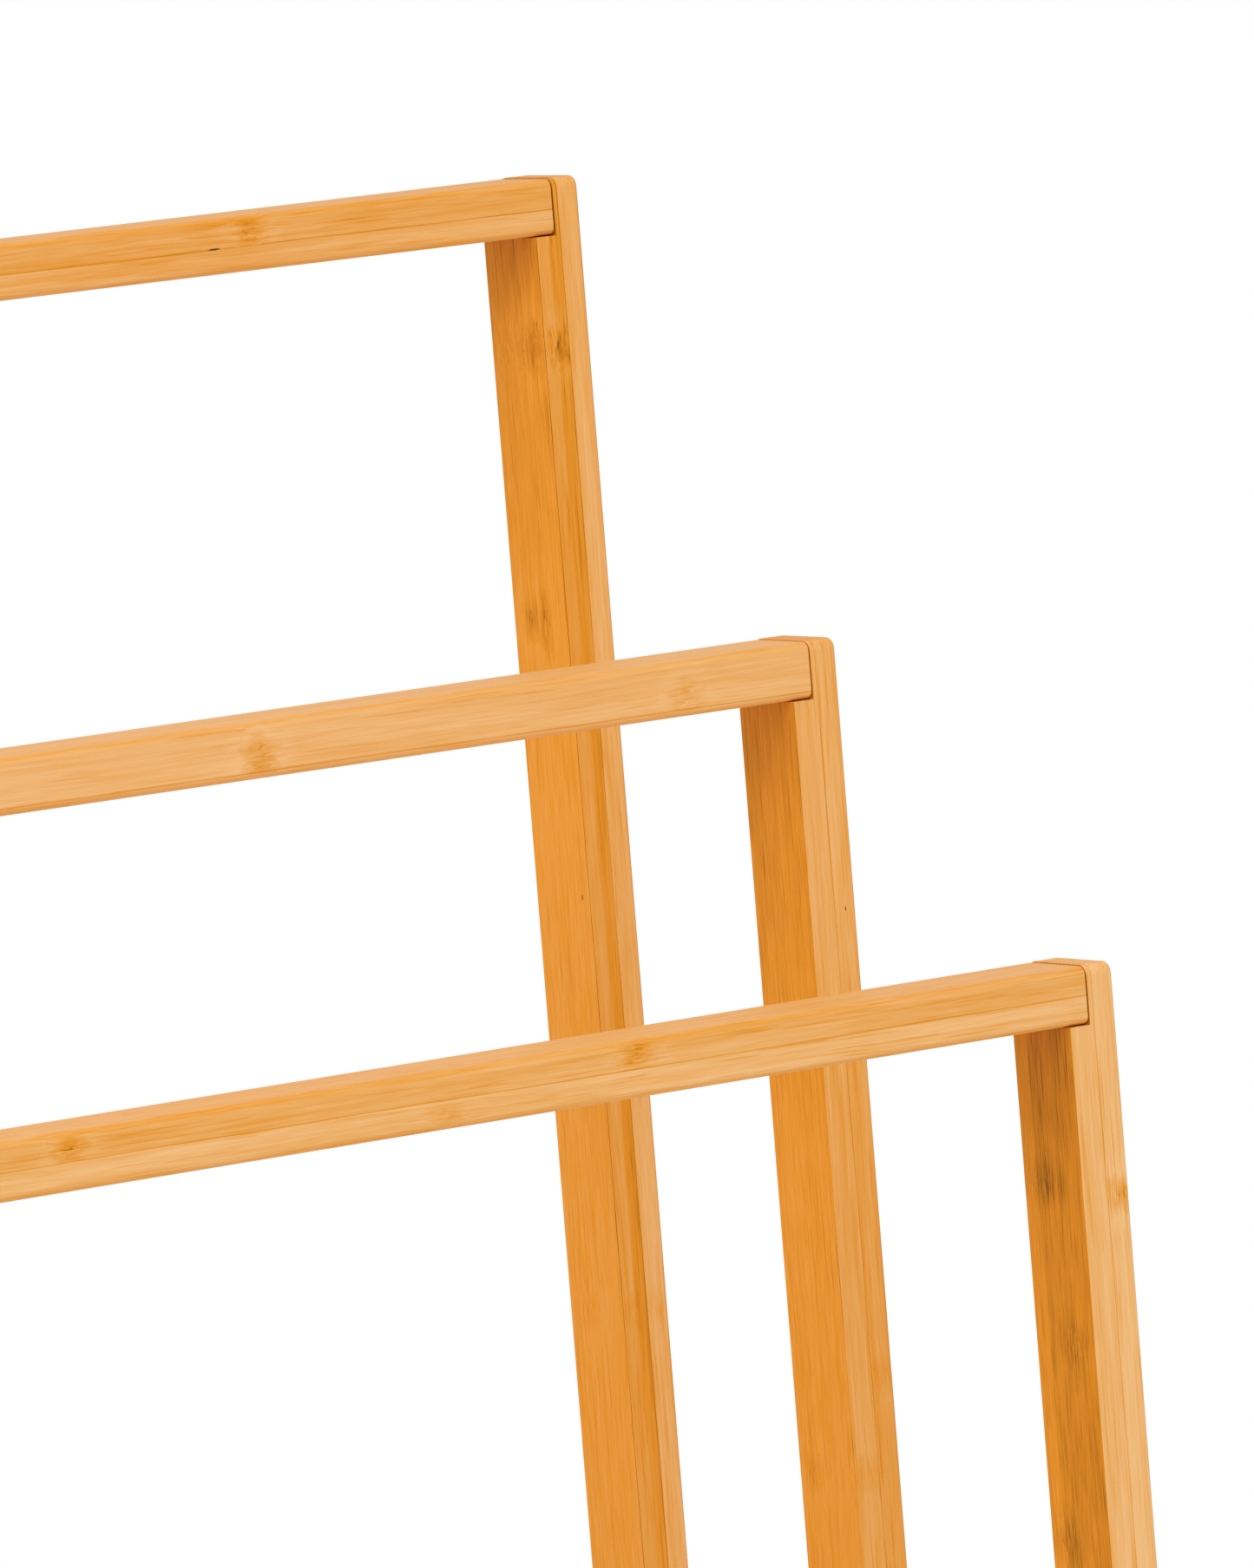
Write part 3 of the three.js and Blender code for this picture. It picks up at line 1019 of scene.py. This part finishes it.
def dowel(node):
    low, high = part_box(node)
    axis = Z if node.endswith("foot_dowel") else X
    half = (high - low).dot(axis) / 2
    radius = (high - low).dot(Y) / 2

    def fluted(angle):
        return radius - FLUTE_DEPTH * (0.5 + 0.5 * math.cos(FLUTES * angle)) ** 2

    columns = 6 * FLUTES
    rings = [
        ring(radius - DOWEL_CHAMFER, -half, columns),
        ring(fluted, -half + DOWEL_CHAMFER, columns),
        ring(fluted, half - DOWEL_CHAMFER, columns),
        ring(radius - DOWEL_CHAMFER, half, columns),
    ]
    mesh = closed_mesh("Dowel", rings)
    mesh.transform(along(axis, (low + high) / 2))
    piece = smooth(new_object(node + "_fluted", mesh), 30)
    return finish_piece(piece, node, BEECH[2 if axis == Z else 0])


def pad(node):
    low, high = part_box(node)
    middle = (low + high) / 2
    radius = (high.x - low.x) / 2
    profile = [(0.3 * radius, low.z)]
    steps = 6
    for step in range(steps + 1):
        angle = math.pi / 2 * step / steps
        inset = PAD_ROUND * (1 - math.sin(angle))
        rise = PAD_ROUND * (1 - math.cos(angle))
        profile.append((radius - inset, low.z + rise))
    profile.append((radius, high.z - 0.2 * MM))
    profile.append((0.97 * radius, high.z))
    mesh = turned_mesh("Pad", profile, PAD_COLUMNS)
    mesh.transform(Matrix.Translation((middle.x, middle.y, 0)))
    piece = smooth(new_object(node + "_moulded", mesh), 40)
    return finish_piece(piece, node, RUBBER)


def steel():
    """Zinc-plated steel: a cool grey, cloudy and faintly brushed."""
    tree = Tree("zinc_plated_steel")
    cloud = tree.noise(tree.place(900.0, 900.0, 900.0))
    grain = tree.noise(tree.place(9000.0, 9000.0, 9000.0))
    greys = ((0.3, rgb(196, 197, 200)), (0.7, rgb(214, 212, 204)))
    tree.set("Base Color", tree.ramp(cloud, greys))
    tree.set("Metallic", 1.0)
    brushed = tree.total(cloud, tree.times(grain, 0.4))
    tree.set("Roughness", tree.remap(brushed, 0.4, 1.0, 0.24, 0.42))
    tree.bump(grain, 0.01 * MM, 0.4)
    return tree.material


def beech(grain):
    """Plain beech with its grain along an axis, flecked with short dark rays."""
    tree = Tree("beech_along_" + "xyz"[grain])
    stretch = [1400.0] * 3
    stretch[grain] = 90.0
    fibres = tree.noise(tree.place(*stretch))
    stretch[grain] = 500.0
    rays = tree.noise(tree.place(*stretch), 1.0)
    colour = tree.ramp(fibres, ((0.3, rgb(208, 170, 124)), (0.7, rgb(226, 192, 148))))
    colour = tree.blend(tree.remap(rays, 0.64, 0.7, 0.0, 0.6), colour, rgb(160, 112, 72))
    tree.set("Base Color", colour)
    tree.set("Roughness", tree.remap(fibres, 0.3, 0.7, 0.6, 0.72))
    tree.set("Specular IOR Level", 0.3)
    tree.bump(fibres, 0.04 * MM)
    return tree.material


def rubber():
    """Moulded black rubber, finely pebbled and a little dusty."""
    tree = Tree("black_rubber")
    pebbles = tree.noise(tree.place(3500.0, 3500.0, 3500.0), 1.0)
    dust = tree.noise(tree.place(250.0, 250.0, 250.0))
    tree.set("Base Color", tree.ramp(dust, ((0.4, rgb(34, 33, 32)), (0.75, rgb(58, 55, 52)))))
    tree.set("Roughness", tree.remap(dust, 0.3, 0.7, 0.62, 0.8))
    tree.bump(pebbles, 0.05 * MM)
    return tree.material


for name in FRAMES:
    rail(name)
    for side in SIDES:
        upright(name, side)
for side in SIDES:
    foot_bar(side)
for end in ("front", "rear"):
    stretcher(end)

STEEL = steel()
RUBBER = rubber()
BEECH = {axis: beech(axis) for axis in (0, 2)}
MAKERS = {"_screw": screw, "_dowel": dowel, "_pad": pad}
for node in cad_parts:
    for ending, make in MAKERS.items():
        if node.endswith(ending):
            make(node)


# ---- Floor, light and camera ----------------------------------------------------------------

WHITE = (1.0, 1.0, 1.0, 1.0)
FLOOR_GREY = (0.88, 0.88, 0.88, 1.0)
AMBIENT = 0.79
FLOOR_RADIUS = 2.6
FLOOR_FADE = 0.5  # the radius at which the floor starts to fade
LIGHT_SIZE = 1.8

CAMERA_AZIMUTH = math.radians(-34.745)  # round from the front, to the left
CAMERA_ELEVATION = math.radians(5.614)
CAMERA_ROLL = math.radians(-4.629)
CAMERA_DISTANCE = 3.5843
FOCAL_LENGTH = 314.8  # in millimetres, as the sensor's width is
SENSOR_WIDTH = 36.0
AIM = Vector((-0.0743, -0.12, -0.1526))  # from the back frame's upper right-hand corner


def floor():
    """A round pale floor under the rack, which fades into the white round it."""
    bm = bmesh.new()
    bmesh.ops.create_circle(bm, cap_ends=True, segments=96, radius=FLOOR_RADIUS)
    mesh = mesh_of(bm, "Floor")
    piece = new_object("Floor", mesh)
    tree = Tree("Floor")
    tree.set("Base Color", FLOOR_GREY)
    tree.set("Roughness", 0.7)
    tree.set("Specular IOR Level", 0.2)
    x, y, _ = tree.apart(tree.add("TexCoord", output=3))
    tree.set("Alpha", tree.remap(tree.length(x, y), FLOOR_FADE, FLOOR_RADIUS, 1.0, 0.0))
    mesh.materials.append(tree.material)


def softbox(name, place, aim, power):
    """A square soft white light at a place, turned towards a point."""
    light = bpy.data.lights.new(name, "AREA")
    light.shape = "SQUARE"
    light.size = LIGHT_SIZE
    light.energy = power
    lamp = bpy.data.objects.new(name, light)
    lamp.location = place
    lamp.rotation_euler = (Vector(aim) - Vector(place)).to_track_quat("-Z", "Y").to_euler()
    bpy.context.scene.collection.objects.link(lamp)


def studio():
    """White surroundings that light the rack softly from all sides, and two large lights.

    The surroundings look pure white to the camera, and give the rack a little less light.
    """
    world = bpy.data.worlds.new("Studio")
    bpy.context.scene.world = world
    world.use_nodes = True
    nodes = world.node_tree.nodes
    links = world.node_tree.links
    around = next(n for n in nodes if n.type == "BACKGROUND")
    around.inputs["Color"].default_value = WHITE
    around.inputs["Strength"].default_value = AMBIENT
    seen = nodes.new("ShaderNodeBackground")
    seen.inputs["Color"].default_value = WHITE
    path = nodes.new("ShaderNodeLightPath")
    choose = nodes.new("ShaderNodeMixShader")
    links.new(path.outputs["Is Camera Ray"], choose.inputs[0])
    links.new(around.outputs[0], choose.inputs[1])
    links.new(seen.outputs[0], choose.inputs[2])
    output = next(n for n in nodes if n.type == "OUTPUT_WORLD")
    links.new(choose.outputs[0], output.inputs["Surface"])

    softbox("Key", (1.6, -2.4, 1.0), (0, 0, 0.5), 6)
    softbox("Fill", (-2.0, -0.75, 2.2), (0, 0, 0.6), 29)
    scene = bpy.context.scene
    scene.view_settings.view_transform = "Standard"
    scene.view_settings.look = "None"


def camera():
    """A long lens at the front left, looking slightly down at the upper right-hand corner."""
    _, upright_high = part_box("back_right_upright")
    rail_low, rail_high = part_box("back_rail")
    corner = Vector((upright_high.x, (rail_low.y + rail_high.y) / 2, rail_high.z))
    backwards = Vector((
        math.sin(CAMERA_AZIMUTH) * math.cos(CAMERA_ELEVATION),
        -math.cos(CAMERA_AZIMUTH) * math.cos(CAMERA_ELEVATION),
        math.sin(CAMERA_ELEVATION),
    ))
    right = Z.cross(backwards).normalized()
    up = backwards.cross(right)
    level = Matrix((right, up, backwards)).transposed().to_4x4()
    place = Matrix.Translation(corner + AIM + CAMERA_DISTANCE * backwards)
    data = bpy.data.cameras.new("Camera")
    data.sensor_width = SENSOR_WIDTH
    data.lens = FOCAL_LENGTH
    data.clip_end = 100.0
    view = bpy.data.objects.new("Camera", data)
    view.matrix_world = place @ level @ Matrix.Rotation(CAMERA_ROLL, 4, "Z")
    bpy.context.scene.collection.objects.link(view)
    bpy.context.scene.camera = view


floor()
studio()
camera()

bpy.context.view_layer.update()
